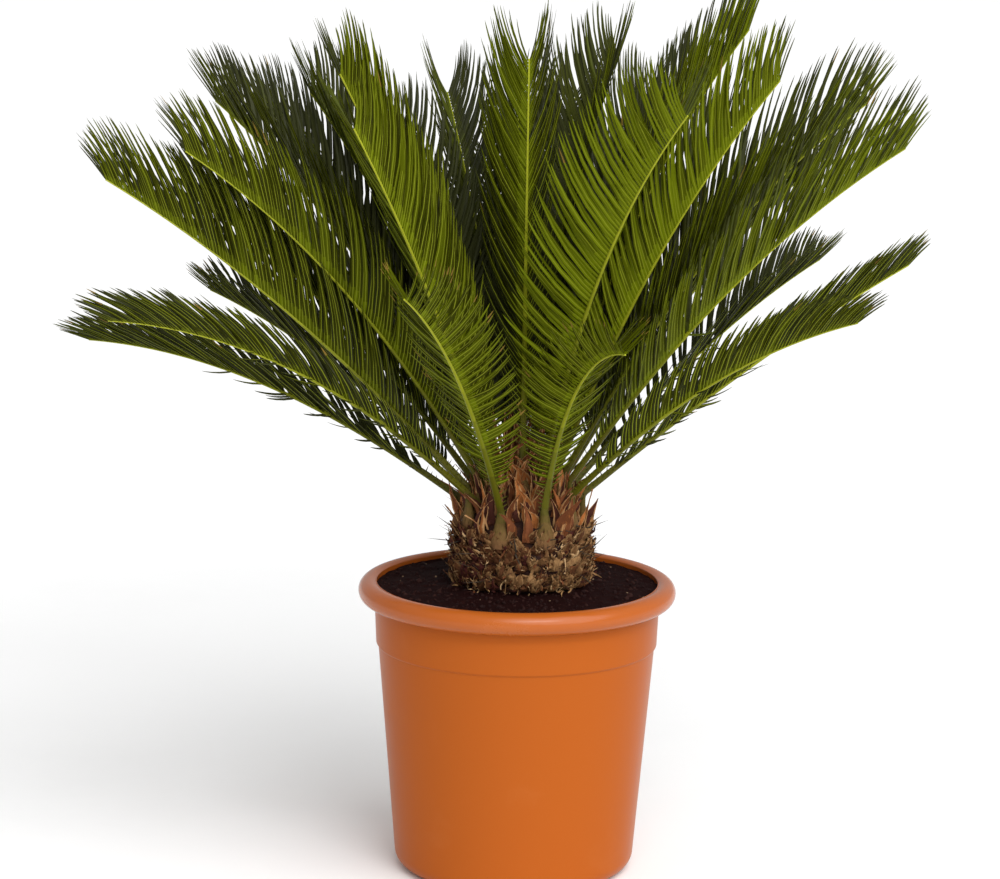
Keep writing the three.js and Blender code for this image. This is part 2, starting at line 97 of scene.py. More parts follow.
def surface_group():
    """A surface that varies: patches of two colours, patches of sheen, and a fine grain.

    Upright below 1 draws patches and grain out into streaks up and down.
    """
    group = bpy.data.node_groups.new("patchy surface", "ShaderNodeTree")
    for name, kind in (("Main", "Color"), ("Patch", "Color"), ("Patch Scale", "Float"),
                       ("Patch Share", "Float"), ("Grain Scale", "Float"), ("Upright", "Float"),
                       ("Smooth", "Float"), ("Rough", "Float")):
        group.interface.new_socket(name, in_out="INPUT", socket_type="NodeSocket" + kind)
    for name, kind in (("Color", "Color"), ("Roughness", "Float"), ("Height", "Float")):
        group.interface.new_socket(name, in_out="OUTPUT", socket_type="NodeSocket" + kind)
    make, link = group.nodes.new, group.links.new
    given, out = make("NodeGroupInput"), make("NodeGroupOutput")
    place, streaks = make("ShaderNodeTexCoord"), make("ShaderNodeVectorMath")
    proportions = make("ShaderNodeCombineXYZ")
    proportions.inputs["X"].default_value = 1
    proportions.inputs["Y"].default_value = 1
    streaks.operation = "MULTIPLY"
    link(given.outputs["Upright"], proportions.inputs["Z"])
    link(place.outputs["Object"], streaks.inputs[0])
    link(proportions.outputs[0], streaks.inputs[1])
    patches, grain = make("ShaderNodeTexNoise"), make("ShaderNodeTexNoise")
    patches.inputs["Detail"].default_value = 5
    grain.inputs["Detail"].default_value = 3
    for texture, scale in ((patches, "Patch Scale"), (grain, "Grain Scale")):
        link(streaks.outputs[0], texture.inputs["Vector"])
        link(given.outputs[scale], texture.inputs["Scale"])
    edge = make("ShaderNodeMath")
    edge.operation = "SUBTRACT"
    edge.inputs[0].default_value = 1
    link(given.outputs["Patch Share"], edge.inputs[1])
    share = make("ShaderNodeMapRange")
    share.interpolation_type = "SMOOTHSTEP"
    share.inputs["To Min"].default_value = 0
    top = make("ShaderNodeMath")
    top.inputs[1].default_value = PATCH_SOFTNESS
    link(edge.outputs[0], top.inputs[0])
    link(patches.outputs["Fac"], share.inputs["Value"])
    link(edge.outputs[0], share.inputs["From Min"])
    link(top.outputs[0], share.inputs["From Max"])
    speckle = make("ShaderNodeMath")
    speckle.operation = "MULTIPLY_ADD"
    speckle.inputs[1].default_value = SPECKLE
    link(grain.outputs["Fac"], speckle.inputs[0])
    link(share.outputs[0], speckle.inputs[2])
    blend = make("ShaderNodeMath")
    blend.operation = "SUBTRACT"
    blend.use_clamp = True
    blend.inputs[1].default_value = SPECKLE / 2
    link(speckle.outputs[0], blend.inputs[0])
    mix = make("ShaderNodeMix")
    mix.data_type = "RGBA"
    link(blend.outputs[0], mix.inputs["Factor"])
    link(given.outputs["Main"], mix.inputs[6])
    link(given.outputs["Patch"], mix.inputs[7])
    sheen = make("ShaderNodeMix")
    link(blend.outputs[0], sheen.inputs["Factor"])
    link(given.outputs["Smooth"], sheen.inputs[2])
    link(given.outputs["Rough"], sheen.inputs[3])
    link(mix.outputs[2], out.inputs["Color"])
    link(sheen.outputs[0], out.inputs["Roughness"])
    link(grain.outputs["Fac"], out.inputs["Height"])
    return group


PATCHY = surface_group()


def finish(name, main, patch, patch_scale, patch_share, grain_scale, sheen, relief, specular=0.5,
           upright=1.0):
    """A material of two colours in patches, with its range of roughness and a grain in relief."""
    material = bpy.data.materials.new(name)
    material.use_nodes = True
    nodes, link = material.node_tree.nodes, material.node_tree.links.new
    shader = nodes["Principled BSDF"]
    shader.inputs["Specular IOR Level"].default_value = specular
    surface = nodes.new("ShaderNodeGroup")
    surface.node_tree = PATCHY
    surface.inputs["Main"].default_value = (*main, 1)
    surface.inputs["Patch"].default_value = (*patch, 1)
    surface.inputs["Patch Scale"].default_value = patch_scale
    surface.inputs["Patch Share"].default_value = patch_share
    surface.inputs["Grain Scale"].default_value = grain_scale
    surface.inputs["Upright"].default_value = upright
    surface.inputs["Smooth"].default_value = sheen[0]
    surface.inputs["Rough"].default_value = sheen[1]
    bump = nodes.new("ShaderNodeBump")
    bump.inputs["Distance"].default_value = relief * MM
    link(surface.outputs["Height"], bump.inputs["Height"])
    link(bump.outputs["Normal"], shader.inputs["Normal"])
    link(surface.outputs["Color"], shader.inputs["Base Color"])
    link(surface.outputs["Roughness"], shader.inputs["Roughness"])
    return material


def spun(profile, steps):
    """A closed solid from a profile of (radius, height) in millimetres, spun about the axis."""
    solid = bmesh.new()
    corners = [solid.verts.new((radius, 0, height)) for radius, height in profile]
    edges = [solid.edges.new(pair) for pair in zip(corners, corners[1:])]
    bmesh.ops.spin(solid, geom=corners + edges, cent=(0, 0, 0), axis=(0, 0, 1),
                   angle=2 * math.pi, steps=steps, use_merge=True)
    bmesh.ops.remove_doubles(solid, verts=solid.verts, dist=0.001)
    bmesh.ops.recalc_face_normals(solid, faces=solid.faces)
    return solid


def piece_from(name, solid, materials, crease=CREASE):
    """A finished piece, in metres, from a bmesh in millimetres."""
    bmesh.ops.scale(solid, vec=(MM, MM, MM), verts=solid.verts)
    mesh = bpy.data.meshes.new(name)
    solid.to_mesh(mesh)
    solid.free()
    return piece_of_mesh(name, mesh, materials, crease)


def piece_of_mesh(name, mesh, materials, crease):
    """A finished piece from a mesh in metres, smooth but for edges sharper than the crease."""
    mesh.shade_smooth()
    mesh.set_sharp_from_angle(angle=crease)
    for material in materials:
        mesh.materials.append(material)
    piece = bpy.data.objects.new(name, mesh)
    bpy.context.scene.collection.objects.link(piece)
    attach(piece, "root")
    return piece


def arc(centre, radii, start, end, steps):
    """Points (radius, height) on an arc or oval, its angles in radians."""
    turns = np.linspace(start, end, steps)
    return [(centre[0] + radii[0] * math.cos(t), centre[1] + radii[1] * math.sin(t)) for t in turns]


rim_centre = RIM_OUTER_RADIUS - RIM_BEAD
rim_start = -math.pi / 2 - math.asin((rim_centre - COLLAR_TOP_RADIUS) / RIM_BEAD)
rim_end = math.acos((COLLAR_TOP_RADIUS - WALL - rim_centre) / RIM_BEAD)
body_top = COLLAR_FOOT_RADIUS - COLLAR_STEP
lower_corner = arc((FOOT_RADIUS, FOOT_ROUND), (BODY_FOOT_RADIUS - FOOT_RADIUS, FOOT_ROUND),
                   -math.pi / 2, 0, CORNER_STEPS)
rolled_rim = arc((rim_centre, RIM_Z), (RIM_BEAD, RIM_BEAD), rim_start, rim_end, RIM_STEPS)
rim_inside, rim_foot = rolled_rim[-1]
inner_lip = arc((rim_inside + LIP / 2, rim_foot), (LIP / 2, LIP), LIP_START, math.pi, LIP_STEPS)
pot_inside = [
    (COLLAR_TOP_RADIUS - WALL, RIM_Z - RIM_BEAD), (COLLAR_FOOT_RADIUS - WALL, COLLAR_Z),
    (body_top - WALL, COLLAR_Z - COLLAR_STEP), (BODY_FOOT_RADIUS - WALL, FOOT_ROUND),
    (FLOOR_RADIUS, FLOOR),
]
pot_solid = spun([
    (0, 0), *lower_corner, (body_top, COLLAR_Z - COLLAR_STEP), (COLLAR_FOOT_RADIUS, COLLAR_Z),
    *rolled_rim, *inner_lip, *pot_inside, (0, FLOOR)], POT_STEPS)
collar_edges = [edge for edge in pot_solid.edges
                if all(vert.co.xy.length > body_top - SLACK for vert in edge.verts)
                and all(-COLLAR_STEP - SLACK < vert.co.z - COLLAR_Z < SLACK for vert in edge.verts)
                and abs(edge.verts[0].co.z - edge.verts[1].co.z) < SLACK]
bmesh.ops.bevel(pot_solid, geom=collar_edges, offset=COLLAR_ROUND, offset_type="OFFSET", segments=3,
                profile=0.5, affect="EDGES", material=-1)
plastic = finish("moulded plastic", TERRACOTTA, TERRACOTTA_DUSTY, patch_scale=14, patch_share=0.42,
                 grain_scale=650, sheen=(0.32, 0.44), relief=0.05, specular=0.07)
glossy = finish("polished rim", TERRACOTTA, TERRACOTTA_DUSTY, patch_scale=14, patch_share=0.42,
                grain_scale=650, sheen=(0.24, 0.34), relief=0.04, specular=0.32)
for face in pot_solid.faces:
    face.material_index = int(face.calc_center_median().z > RIM_Z - RIM_BEAD)
pot = piece_from("moulded_pot", pot_solid, [plastic, glossy])
notch_solid = bmesh.new()
for k in range(NOTCHES):
    box = bmesh.ops.create_cube(notch_solid, size=1)["verts"]
    bmesh.ops.scale(notch_solid, vec=(2 * NOTCH_DEPTH, NOTCH_WIDTH, 2 * NOTCH_HEIGHT), verts=box)
    bmesh.ops.translate(notch_solid, vec=(BODY_FOOT_RADIUS, 0, 0), verts=box)
    turn = Quaternion((0, 0, 1), (k + 0.5) * 2 * math.pi / NOTCHES).to_matrix()
    bmesh.ops.rotate(notch_solid, cent=(0, 0, 0), matrix=turn, verts=box)
bmesh.ops.scale(notch_solid, vec=(MM, MM, MM), verts=notch_solid.verts)
cutter_mesh = bpy.data.meshes.new("notches")
notch_solid.to_mesh(cutter_mesh)
notch_solid.free()
cutter = bpy.data.objects.new("notches", cutter_mesh)
bpy.context.scene.collection.objects.link(cutter)
cut = pot.modifiers.new("notches", "BOOLEAN")
cut.operation = "DIFFERENCE"
cut.object = cutter
bpy.context.view_layer.update()
whole = pot.data
pot.data = bpy.data.meshes.new_from_object(pot.evaluated_get(bpy.context.evaluated_depsgraph_get()))
pot.modifiers.clear()
pot.data.set_sharp_from_angle(angle=CREASE)
bpy.data.objects.remove(cutter)
bpy.data.meshes.remove(whole)
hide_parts("pot")

# ---- Soil ----
# Damp dark potting mix: a lumpy surface that rises to the trunk, with crumbs and a few bits of
# pale fibre lying loose on it.
GAP = 0.3
SOIL_EDGE_Z = 311
SOIL_CROWN_Z = 315
SOIL_SEAT_RADIUS = 78
SOIL_RINGS = 44
SOIL_STEPS = 150
SOIL_LUMPS = 1.7
LUMP_SPACING = 13
SWELL_SPACING = 34
SWELL_SHARE = 0.6
EDGE_FADE = 6
LUMPY_CREASE = math.radians(80)
CRUMBS = 1500
CRUMBS_FROM = 60
CRUMBS_OFF_EDGE = 3
CRUMB_RADII = (0.5, 3.4)
CRUMB_CREASE = math.radians(20)
DARK_EARTH = (0.0118, 0.0031, 0.003)
BROWN_EARTH = (0.025, 0.008, 0.0062)
PALE_FIBRE = (0.2, 0.13, 0.075)

chance = np.random.default_rng(11)
soil_edge = COLLAR_TOP_RADIUS - WALL - GAP


def soil_height(x, y):
    """Height of the soil at a place on it, in millimetres, lumps included."""
    radius = math.hypot(x, y)
    half_way = (soil_edge + SOIL_SEAT_RADIUS) / 2
    mound = np.interp(radius, [SOIL_SEAT_RADIUS, half_way, soil_edge],
                      [SOIL_CROWN_Z, (2 * SOIL_EDGE_Z + SOIL_CROWN_Z) / 3, SOIL_EDGE_Z])
    lumps = (noise.fractal(Vector((x, y, 0)) / LUMP_SPACING, 1, 2, 4)
             + SWELL_SHARE * noise.noise(Vector((x, y, 5)) / SWELL_SPACING))
    fade = min(1, (soil_edge - radius) / EDGE_FADE)
    return mound + SOIL_LUMPS * lumps * (0.75 + 0.25 * fade)


def joined_copies(name, corners, triangles, finishes, materials, crease):
    """One piece from many copies of a shape: corners (copies, corners, 3) in millimetres."""
    copies, count = corners.shape[:2]
    faces = triangles[None] + count * np.arange(copies)[:, None, None]
    mesh = bpy.data.meshes.new(name)
    mesh.from_pydata((corners * MM).reshape(-1, 3), [], faces.reshape(-1, 3))
    mesh.polygons.foreach_set("material_index", np.broadcast_to(finishes, faces.shape[:2]).ravel())
    return piece_of_mesh(name, mesh, materials, crease)


def shape_of(solid):
    """The corners and triangles of a bmesh, as arrays, and the way each triangle faces."""
    bmesh.ops.recalc_face_normals(solid, faces=solid.faces)
    bmesh.ops.triangulate(solid, faces=solid.faces)
    solid.verts.index_update()
    corners = np.array([vert.co for vert in solid.verts])
    triangles = np.array([[vert.index for vert in face.verts] for face in solid.faces])
    normals = np.array([face.normal for face in solid.faces])
    solid.free()
    return corners, triangles, normals


def turned(count):
    """Random turns, as matrices (count, 3, 3)."""
    q = chance.normal(size=(count, 4))
    w, x, y, z = (q / np.linalg.norm(q, axis=1, keepdims=True)).T
    rows = [[1 - 2 * (y * y + z * z), 2 * (x * y - z * w), 2 * (x * z + y * w)],
            [2 * (x * y + z * w), 1 - 2 * (x * x + z * z), 2 * (y * z - x * w)],
            [2 * (x * z - y * w), 2 * (y * z + x * w), 1 - 2 * (x * x + y * y)]]
    return np.moveaxis(np.array(rows), 2, 0)


soil_wall = [(radius - GAP, height) for radius, height in reversed(pot_inside)]
soil_wall[0] = (soil_wall[0][0], FLOOR + GAP)
soil_wall[-1] = (soil_edge, soil_wall[-1][1])
surface = [(radius, SOIL_EDGE_Z) for radius in np.linspace(soil_edge, 0, SOIL_RINGS)]
soil_solid = spun([(0, FLOOR + GAP), *soil_wall, *surface], SOIL_STEPS)
for vert in soil_solid.verts:
    if vert.co.z > SOIL_EDGE_Z - 1:
        vert.co.z = soil_height(vert.co.x, vert.co.y)
earth = finish("damp potting mix", DARK_EARTH, BROWN_EARTH, patch_scale=130, patch_share=0.45,
               grain_scale=900, sheen=(0.8, 1), relief=0.9, specular=0.03)
soil = piece_from("soil_surface", soil_solid, [earth], LUMPY_CREASE)
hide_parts("soil")

crumb = bmesh.new()
bmesh.ops.create_icosphere(crumb, subdivisions=1, radius=1)
crumb_corners, crumb_faces, _ = shape_of(crumb)
radii = np.sqrt(chance.uniform(CRUMBS_FROM ** 2, (soil_edge - CRUMBS_OFF_EDGE) ** 2, CRUMBS))
angles = chance.uniform(0, 2 * math.pi, CRUMBS)
spots = [(r * math.cos(a), r * math.sin(a)) for r, a in zip(radii, angles)]
crumb_places = np.array([(x, y, soil_height(x, y)) for x, y in spots])
crumb_sizes = chance.gamma(3, 0.42, (CRUMBS, 1, 1)).clip(*CRUMB_RADII)
crumb_sizes = crumb_sizes * chance.uniform(0.5, 1.3, (CRUMBS, 1, 3))
lumpy = chance.uniform(0.75, 1.15, (CRUMBS, len(crumb_corners), 1))
crumb_shapes = (crumb_corners * crumb_sizes * lumpy) @ turned(CRUMBS)
joined_copies(
    "soil_crumbs", crumb_shapes + crumb_places[:, None], crumb_faces,
    chance.choice(3, (CRUMBS, 1), p=[0.6, 0.393, 0.007]),
    [finish("dark crumbs", DARK_EARTH, BROWN_EARTH, patch_scale=300, patch_share=0.5,
            grain_scale=1500, sheen=(0.75, 1), relief=0.4, specular=0.12),
     finish("brown crumbs", BROWN_EARTH, DARK_EARTH, patch_scale=300, patch_share=0.4,
            grain_scale=1500, sheen=(0.75, 1), relief=0.4, specular=0.12),
     finish("pale crumbs", PALE_FIBRE, BROWN_EARTH, patch_scale=300, patch_share=0.4,
            grain_scale=1500, sheen=(0.8, 1), relief=0.3, specular=0.3)],
    CRUMB_CREASE)

# ---- Trunk ----
# A short barrel, all of it clad in the stubs of cut leaves, which stand in rows round it. They are
# weathered bark in tones dealt by chance, with painted light: tan on the side towards the key
# light, darker on the other.
TRUNK_X = 4
TRUNK_PROFILE = [
    (0, 59), (14, 65), (30, 68), (48, 67.5), (64, 64), (80, 53), (96, 40), (106, 24), (111, 10)]
SHOULDER = 64
CROWN = 111
CORE_RINGS = 46
CORE_STEPS = 96
RIPPLE = 0.028
RIPPLE_SPACING = 9
CLAD_RADIUS = 75
STUB_ROWS = 6
STUBS_IN_ROW = 28
STUB_FOOT = 5
STUB_SINK = 3
STUB_HALF_WIDTH = 8.5
STUB_HALF_HEIGHT = 7.5
STUB_FLATNESS = 0.72
# how far out a stub reaches, its size there beside the last, and how far its face is raised
STUB_OUTLINE = [(0.45, 0.98, 0.048), (0.85, 0.8, 0.12), (1.15, 0.62, 0.22)]
STUB_HOLLOW = 0.12
STUB_CREASE = math.radians(50)
# the bark's tones run from 0, tan, over olive and brown to 3, maroon
BARK_TONE = 1.9
LIT_SIDE = math.radians(-35)
PAINTED_SIDE_LIGHT = 0.85
BARK_DARK = (0.03, 0.011, 0.008)
BARK_BROWN = (0.1, 0.038, 0.015)
STUB_TAN = (0.29, 0.16, 0.066)
STUB_OLIVE = (0.18, 0.089, 0.035)
STUB_MAROON = (0.06, 0.014, 0.011)
UP = np.array([0, 0, 1.0])


def trunk_radius(height):
    """The trunk's radius at a height above the soil."""
    heights, radii = zip(*TRUNK_PROFILE)
    return np.interp(height, heights, radii)


def trunk_spots(azimuths, heights, depth=0.0):
    """Points on the trunk, with the directions outwards and sideways there."""
    out = np.stack([np.cos(azimuths), np.sin(azimuths), np.zeros_like(azimuths)], 1)
    side = np.stack([-out[:, 1], out[:, 0], out[:, 2]], 1)
    points = out * (trunk_radius(heights) - depth)[:, None]
    points = points + np.stack([np.full_like(heights, TRUNK_X), 0 * heights, SOIL_CROWN_Z + heights], 1)
    return points, out, side


def unit(vectors):
    """Directions, of length 1."""
    return vectors / np.linalg.norm(vectors, axis=-1, keepdims=True)


def whole_tones(tones):
    """Tones rounded to one of the four from 0 to 3."""
    return np.clip(np.round(tones), 0, 3).astype(int)


# the core, hardly seen between the stubs
core_rows = np.linspace(0, CROWN, CORE_RINGS)
core_solid = spun([(0, 0), *[(trunk_radius(h), h) for h in core_rows], (0, CROWN + 1)], CORE_STEPS)
for vert in core_solid.verts:
    vert.co.xy *= 1 + RIPPLE * noise.fractal(vert.co / RIPPLE_SPACING, 1, 2, 4)
bmesh.ops.translate(core_solid, vec=(TRUNK_X, 0, SOIL_CROWN_Z + GAP), verts=core_solid.verts)
bark = finish("dark bark", BARK_DARK, BARK_BROWN, patch_scale=90, patch_share=0.5,
              grain_scale=500, sheen=(0.85, 1), relief=1.5, specular=0.2)
core = piece_from("trunk_bark", core_solid, [bark], LUMPY_CREASE)
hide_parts("trunk")

# the stubs: lozenges drawn out and upwards, with a hollow in the cut face
stub = bmesh.new()
lozenge = bmesh.ops.create_circle(stub, cap_ends=True, segments=8, radius=1)["verts"]
for vert in lozenge:
    vert.co = (0, vert.co.x * (1 - 0.25 * abs(vert.co.y)), vert.co.y * STUB_FLATNESS)
stub_face = lozenge[0].link_faces[0]
for reach, spread, lift in STUB_OUTLINE:
    stub_face = bmesh.ops.extrude_discrete_faces(stub, faces=[stub_face])["faces"][0]
    middle = stub_face.calc_center_median()
    for vert in stub_face.verts:
        shrunk = middle + (vert.co - middle) * spread
        vert.co = (reach, shrunk.y, shrunk.z + lift)
bmesh.ops.inset_individual(stub, faces=[stub_face], thickness=STUB_HOLLOW, depth=-STUB_HOLLOW)
stub_corners, stub_faces, _ = shape_of(stub)
stub_count = STUB_ROWS * STUBS_IN_ROW
stub_row = np.repeat(np.arange(STUB_ROWS), STUBS_IN_ROW)
stub_place = np.tile(np.arange(STUBS_IN_ROW), STUB_ROWS) + stub_row * 0.5
stub_azimuth = stub_place * 2 * math.pi / STUBS_IN_ROW + chance.normal(0, 0.05, stub_count)
stub_height = STUB_FOOT + stub_row * (SHOULDER - 2) / STUB_ROWS + chance.normal(0, 1.2, stub_count)
spots, out, side = trunk_spots(stub_azimuth, stub_height, STUB_SINK)
stub_size = chance.uniform(0.85, 1.15, (stub_count, 1))
stub_reach = (CLAD_RADIUS - trunk_radius(stub_height))[:, None] * stub_size
stub_rough = stub_corners * (1 + chance.normal(0, 0.1, (stub_count, len(stub_corners), 1)))
upward = unit(UP - 0.3 * out * chance.normal(0.25, 0.18, (stub_count, 1)))
stub_places = (spots[:, None] + stub_rough[..., 0:1] * (out * stub_reach)[:, None]
               + stub_rough[..., 1:2] * (side * STUB_HALF_WIDTH * stub_size)[:, None]
               + stub_rough[..., 2:3] * (upward * STUB_HALF_HEIGHT * stub_size)[:, None])
# the stubs' tones: chance, with painted light, lighter on the side towards the key light
stub_tone = BARK_TONE - PAINTED_SIDE_LIGHT * np.cos(stub_azimuth - LIT_SIDE) + chance.normal(0, 0.7, stub_count)
bark_finishes = [
    finish(name, main, patch, patch_scale=260, patch_share=share, grain_scale=900,
           sheen=(smooth, 1), relief=1.6, specular=0.1, upright=0.3)
    for name, main, patch, share, smooth in (
        ("tan bark", STUB_TAN, BARK_BROWN, 0.45, 0.8), ("olive bark", STUB_OLIVE, BARK_DARK, 0.42, 0.8),
        ("brown bark", BARK_BROWN, STUB_OLIVE, 0.42, 0.8),
        ("maroon bark", STUB_MAROON, BARK_BROWN, 0.45, 0.7))]
joined_copies("leaf_stubs", stub_places, stub_faces, whole_tones(stub_tone + 0.4)[:, None],
              bark_finishes, STUB_CREASE)

# ---- Torn bark ----
# Each stub's upper edge is torn into ragged flaps of its own colour, and curls of fibre weather out
# between them. They are loose bark, grown in one with the trunk and bent every way.
FLAPS = 680
FLAP_SECTION = [(-1, 0), (-0.7, 0.22), (0, 0.42), (0.7, 0.22), (1, 0), (0.6, 0.08), (-0.6, 0.08)]
FLAP_OUTLINE = [(0, 0.75), (0.2, 1), (0.45, 0.98), (0.65, 0.8), (0.82, 0.52), (1, 0.16)]
FLAP_LENGTHS = (8, 20)
FLAP_HALF_WIDTHS = (2, 5.6)
FLAP_DEPTHS = (2, 10)
FLAP_EDGE_TONE = -1.2
FLAP_CREASE = math.radians(75)
SHREDS = 1100
SHRED_SECTION = [(-1, 0), (0, 0.3), (1, 0), (0, -0.1)]
SHRED_OUTLINE = [(0, 0.8), (0.25, 1), (0.5, 0.85), (0.75, 0.6), (1, 0.06)]
SHRED_LENGTHS = (3, 19)
SHRED_HALF_WIDTHS = (0.35, 1.2)
SHRED_DEPTHS = (-3, 5)
BLADE_CREASE = math.radians(60)
SHRED_PALE = (0.46, 0.3, 0.15)
FELT_BROWN = (0.15, 0.048, 0.018)


def blade(section, outline):
    """A closed blade along X: a section of (across, above) drawn out to (place, size) in turn."""
    solid = bmesh.new()
    ring = bmesh.ops.create_circle(solid, cap_ends=True, segments=len(section), radius=1)["verts"]
    for vert, (across, above) in zip(ring, section):
        vert.co = (outline[0][0], across * outline[0][1], above * outline[0][1])
    face = ring[0].link_faces[0]
    root = list(face.edges)
    for (_, before), (place, size) in zip(outline, outline[1:]):
        drawn = bmesh.ops.extrude_discrete_faces(solid, faces=[face])
        face = drawn["faces"][0]
        for vert in face.verts:
            vert.co = (place, vert.co.y * size / before, vert.co.z * size / before)
    bmesh.ops.edgenet_fill(solid, edges=[edge for edge in root if edge.is_valid])
    bmesh.ops.remove_doubles(solid, verts=solid.verts, dist=1e-5)
    return shape_of(solid)


def bent_blades(shape, roots, elbows, tips, across, widths):
    """Copies of a blade, each along a curve from root over elbow to tip, its width to across."""
    t, a, b = shape.T
    weights = np.stack([(1 - t) ** 2, 2 * t * (1 - t), t ** 2], 1)
    slopes = np.stack([2 * t - 2, 2 - 4 * t, 2 * t], 1)
    curve = np.stack([roots, elbows, tips], 1)
    points = np.einsum("vk,nkc->nvc", weights, curve)
    along = unit(np.einsum("vk,nkc->nvc", slopes, curve))
    wide = across[:, None] - along * np.sum(across[:, None] * along, 2, keepdims=True)
    wide = unit(wide)
    above = np.cross(along, wide)
    widths = np.asarray(widths)[:, None, None]
    return points + (a[:, None] * wide + b[:, None] * above) * widths


def edged_blade(section, outline):
    """A blade, and which of its faces lie along its edges."""
    shape, faces, _ = blade(section, outline)
    places, sizes = zip(*outline)
    spread = abs(shape[:, 1]) / np.interp(shape[:, 0], places, sizes)
    return shape, faces, spread[faces].max(1) > 0.99


def crinkled(places, depth):
    """Copies of a shape with each corner a little out of its place."""
    return places + chance.normal(0, depth, places.shape)


flap_shape, flap_faces, flap_edge = edged_blade(FLAP_SECTION, FLAP_OUTLINE)
owner = chance.integers(0, stub_count, FLAPS)
flap_azimuth = stub_azimuth[owner] + chance.normal(0, 0.052, FLAPS)
flap_height = np.maximum(0, stub_height[owner] + chance.normal(0.5, 2.2, FLAPS))
flap_depth = trunk_radius(flap_height) - CLAD_RADIUS + chance.uniform(*FLAP_DEPTHS, FLAPS)
spots, out, side = trunk_spots(flap_azimuth, flap_height, flap_depth)
length = chance.gamma(9, 1.6, (FLAPS, 1)).clip(*FLAP_LENGTHS)
first = unit(0.7 * out + UP + side * chance.normal(0, 0.35, (FLAPS, 1)))
then = unit(first + out * chance.normal(-0.25, 0.5, (FLAPS, 1)) + side * chance.normal(0, 0.45, (FLAPS, 1)))
elbow = spots + first * length * 0.5
across = unit(-side + 0.35 * chance.normal(size=(FLAPS, 3)))
flap_places = bent_blades(flap_shape, spots, elbow, elbow + then * length * 0.5, across,
                          chance.uniform(*FLAP_HALF_WIDTHS, FLAPS))
# each flap takes its stub's tone, painted side light included, and lighter edges
flap_tone = (stub_tone[owner] + chance.normal(0, 0.5, FLAPS))[:, None] + FLAP_EDGE_TONE * flap_edge
joined_copies("torn_flaps", crinkled(flap_places, 0.5), flap_faces, whole_tones(flap_tone),
              bark_finishes, FLAP_CREASE)

shred_shape, shred_faces, _ = blade(SHRED_SECTION, SHRED_OUTLINE)
shred_height = 1 + (SHOULDER - 5) * chance.beta(1.0, 1.1, SHREDS)
shred_depth = trunk_radius(shred_height) - CLAD_RADIUS + chance.uniform(*SHRED_DEPTHS, SHREDS)
spots, out, side = trunk_spots(chance.uniform(0, 2 * math.pi, SHREDS), shred_height, shred_depth)
length = chance.gamma(4, 1.9, (SHREDS, 1)).clip(*SHRED_LENGTHS)
first = 0.5 * out + UP * chance.normal(0.6, 0.5, (SHREDS, 1)) + side * chance.normal(0, 0.6, (SHREDS, 1))
first = unit(first)
then = unit(first + 1.1 * unit(chance.normal(size=(SHREDS, 3))))
elbow = spots + first * length * 0.55
across = unit(side + 0.8 * chance.normal(size=(SHREDS, 3)))
shred_places = bent_blades(shred_shape, spots, elbow, elbow + then * length * 0.5, across,
                           chance.uniform(*SHRED_HALF_WIDTHS, SHREDS))
fibre_finishes = [
    finish(name, main, patch, patch_scale=300, patch_share=0.5, grain_scale=1200, sheen=(0.75, 1),
           relief=0.5, specular=0.1)
    for name, main, patch in (
        ("pale fibre", SHRED_PALE, STUB_TAN), ("tan fibre", STUB_TAN, STUB_OLIVE),
        ("brown fibre", FELT_BROWN, BARK_BROWN), ("dark fibre", BARK_DARK, STUB_MAROON))]
joined_copies("torn_fibres", crinkled(shred_places, 0.2), shred_faces,
              chance.choice(4, (SHREDS, 1), p=[0.22, 0.3, 0.24, 0.24]), fibre_finishes,
              BLADE_CREASE)

# ---- Stray spines ----
# Hard grey spines, the dried ends of lost leaflets, which stick out of the bark all round.
STRAY_SPINES = 80
SPINE_SECTION = [(-1, 0), (0, 0.8), (1, 0), (0, -0.8)]
SPINE_OUTLINE = [(0, 1), (0.5, 0.7), (1, 0.08)]
SPINE_HEIGHTS = (10, SHOULDER + 8)
SPINE_PROUD = 5
SPINE_LENGTHS = (8, 34)
SPINE_HALF_WIDTHS = (0.55, 1.1)
SPINE_GREY = (0.055, 0.043, 0.032)

spine_shape, spine_faces, _ = blade(SPINE_SECTION, SPINE_OUTLINE)
spots, out, side = trunk_spots(chance.uniform(0, 2 * math.pi, STRAY_SPINES),
                               chance.uniform(*SPINE_HEIGHTS, STRAY_SPINES), -SPINE_PROUD)
aim = unit(out + side * chance.normal(0, 0.3, (STRAY_SPINES, 1))
           + UP * chance.normal(0.35, 0.35, (STRAY_SPINES, 1)))
length = chance.uniform(*SPINE_LENGTHS, (STRAY_SPINES, 1))
tips = spots + aim * length + side * chance.normal(0, 1.5, (STRAY_SPINES, 1))
spine_places = bent_blades(spine_shape, spots, spots + aim * length * 0.5, tips, side,
                           chance.uniform(*SPINE_HALF_WIDTHS, STRAY_SPINES))
dry = finish("dry spines", SPINE_GREY, BARK_DARK, patch_scale=300, patch_share=0.4,
             grain_scale=1200, sheen=(0.6, 0.8), relief=0.2, specular=0.2)
joined_copies("stray_spines", spine_places, spine_faces, 0, [dry], BLADE_CREASE)

